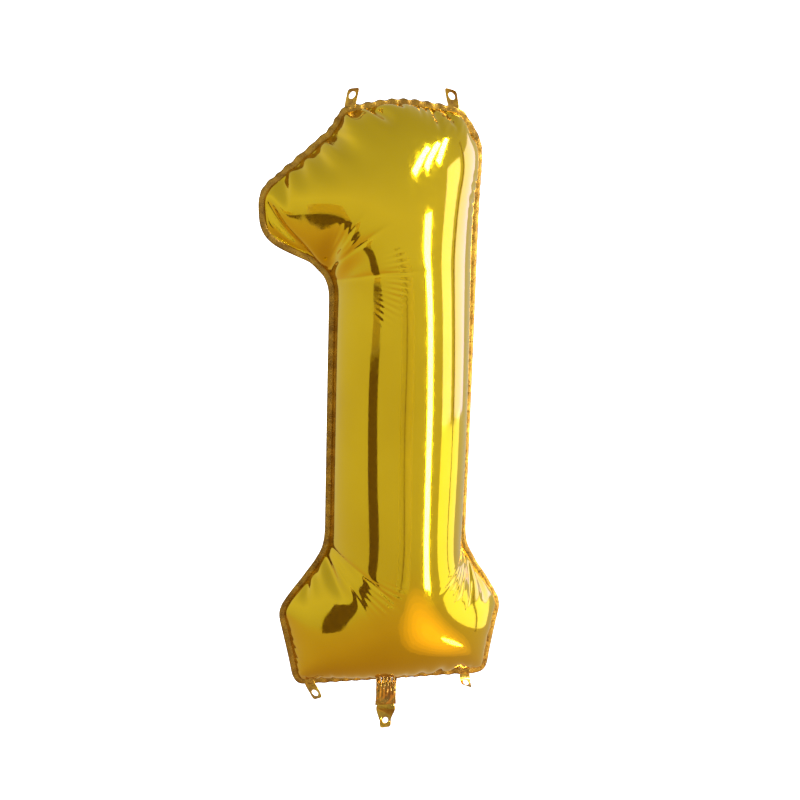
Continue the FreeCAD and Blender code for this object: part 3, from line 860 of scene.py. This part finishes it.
def dark_screen(name, azimuth, distance, width, low, high, colour):
    """An upright matt screen that only the film mirrors."""
    angle = math.radians(azimuth)
    middle = np.array((AIM.x + distance * math.sin(angle), -distance * math.cos(angle)))
    side = width / 2 * np.array((math.cos(angle), math.sin(angle)))
    points = [(*(middle + s * side), z) for s, z in ((-1, low), (1, low), (1, high), (-1, high))]
    material, tree, shader = start_material(name)
    shader.inputs["Roughness"].default_value = 0.9
    shader.inputs["Base Color"].default_value = (*colour, 1)
    mesh = bpy.data.meshes.new(name)
    mesh.from_pydata(points, [], [(0, 1, 2, 3)])
    mesh.materials.append(material)
    screen = bpy.data.objects.new(name, mesh)
    bpy.context.scene.collection.objects.link(screen)
    screen.visible_camera = False


def soft_box(
    name, azimuth, height, distance, width, tall, strength, tint,
    lean=0.0, aim=None, shape="RECTANGLE",
):
    """A soft light of even brightness, at an azimuth to the right of the front, that faces the balloon's
    middle line level with itself, or at the height it is aimed at."""
    lamp = bpy.data.lights.new(name, "AREA")
    lamp.shape = shape
    lamp.size, lamp.size_y = width, tall
    lamp.energy = strength * width * tall * math.pi
    lamp.color = tint
    box = bpy.data.objects.new(name, lamp)
    bpy.context.scene.collection.objects.link(box)
    angle = math.radians(azimuth)
    box.location = (AIM.x + distance * math.sin(angle), -distance * math.cos(angle), height)
    facing = Vector((AIM.x, 0, height if aim is None else aim)) - box.location
    turn = facing.to_track_quat("-Z", "Y").to_matrix() @ Matrix.Rotation(lean, 3, "Z")
    box.rotation_euler = turn.to_euler()
    box.visible_camera = False


def camera():
    """A portrait lens a little above and to the left of the balloon's front, tilted slightly."""
    lens = bpy.data.cameras.new("camera")
    lens.lens = 49.15
    holder = bpy.data.objects.new("camera", lens)
    bpy.context.scene.collection.objects.link(holder)
    side, up, tilt = (math.radians(angle) for angle in (-12.2, 11.2, 1.77))
    back = Vector((math.sin(side) * math.cos(up), -math.cos(side) * math.cos(up), math.sin(up)))
    holder.location = AIM + CAMERA_DISTANCE * back
    turn = (-back).to_track_quat("-Z", "Y").to_matrix() @ Matrix.Rotation(tilt, 3, "Z")
    holder.rotation_euler = turn.to_euler()
    bpy.context.scene.camera = holder


room_light()
pale_room()
dark_screen("brown screen", -55, 1.5, 0.42, -0.62, 0.30, (0.05, 0.025, 0.012))
dark_screen("olive screen", -55, 1.55, 0.34, 0.30, 0.74, (0.22, 0.17, 0.07))
dark_screen("slim screen", -3, 1.5, 0.035, -0.55, 0.62, (0.10, 0.06, 0.03))
dark_screen("window bar", 87, 1.9, 0.07, -0.9, 1.9, (0.16, 0.12, 0.06))
soft_box("tall strip", 38.6, 0.22, 1.8, 0.28, 1.65, 26, (1.0, 0.99, 0.96))
dark_screen("curtain", -1, 1.62, 0.62, -0.60, 0.62, (0.27, 0.25, 0.16))
soft_box("right window", 72, 0.85, 2.2, 0.75, 1.7, 4.5, (0.21, 0.22, 0.90))
soft_box("right window far", 104, 0.85, 2.2, 1.1, 1.7, 4.2, (0.16, 0.17, 1.0))
soft_box("right wall", 85, -0.55, 2.4, 2.0, 1.0, 1.0, (0.8, 0.9, 0.86))
for k in range(WINDOW_PANES):
    soft_box(f"window pane {k + 1}", 33 + 15 * k, 2.0, 1.7, 0.19, 0.9, 30, (1.0, 1.0, 1.0), lean=-0.9)
for k in range(GLOW_STEPS):
    share = 1.3 - 0.19 * k
    soft_box(
        f"low warm lamp {k + 1}", 42, -0.95, 1.1 + 0.01 * k, 1.5 * share, 0.8 * share, 0.115,
        (1.0, 0.56, 0.14), lean=-0.35, aim=0.1, shape="ELLIPSE",
    )
soft_box("low white lamp", 64, -1.12, 1.3, 0.5, 0.12, 7, (1.0, 0.96, 0.88), aim=0.1, shape="ELLIPSE")
camera()
bpy.context.scene.view_settings.view_transform = "Standard"
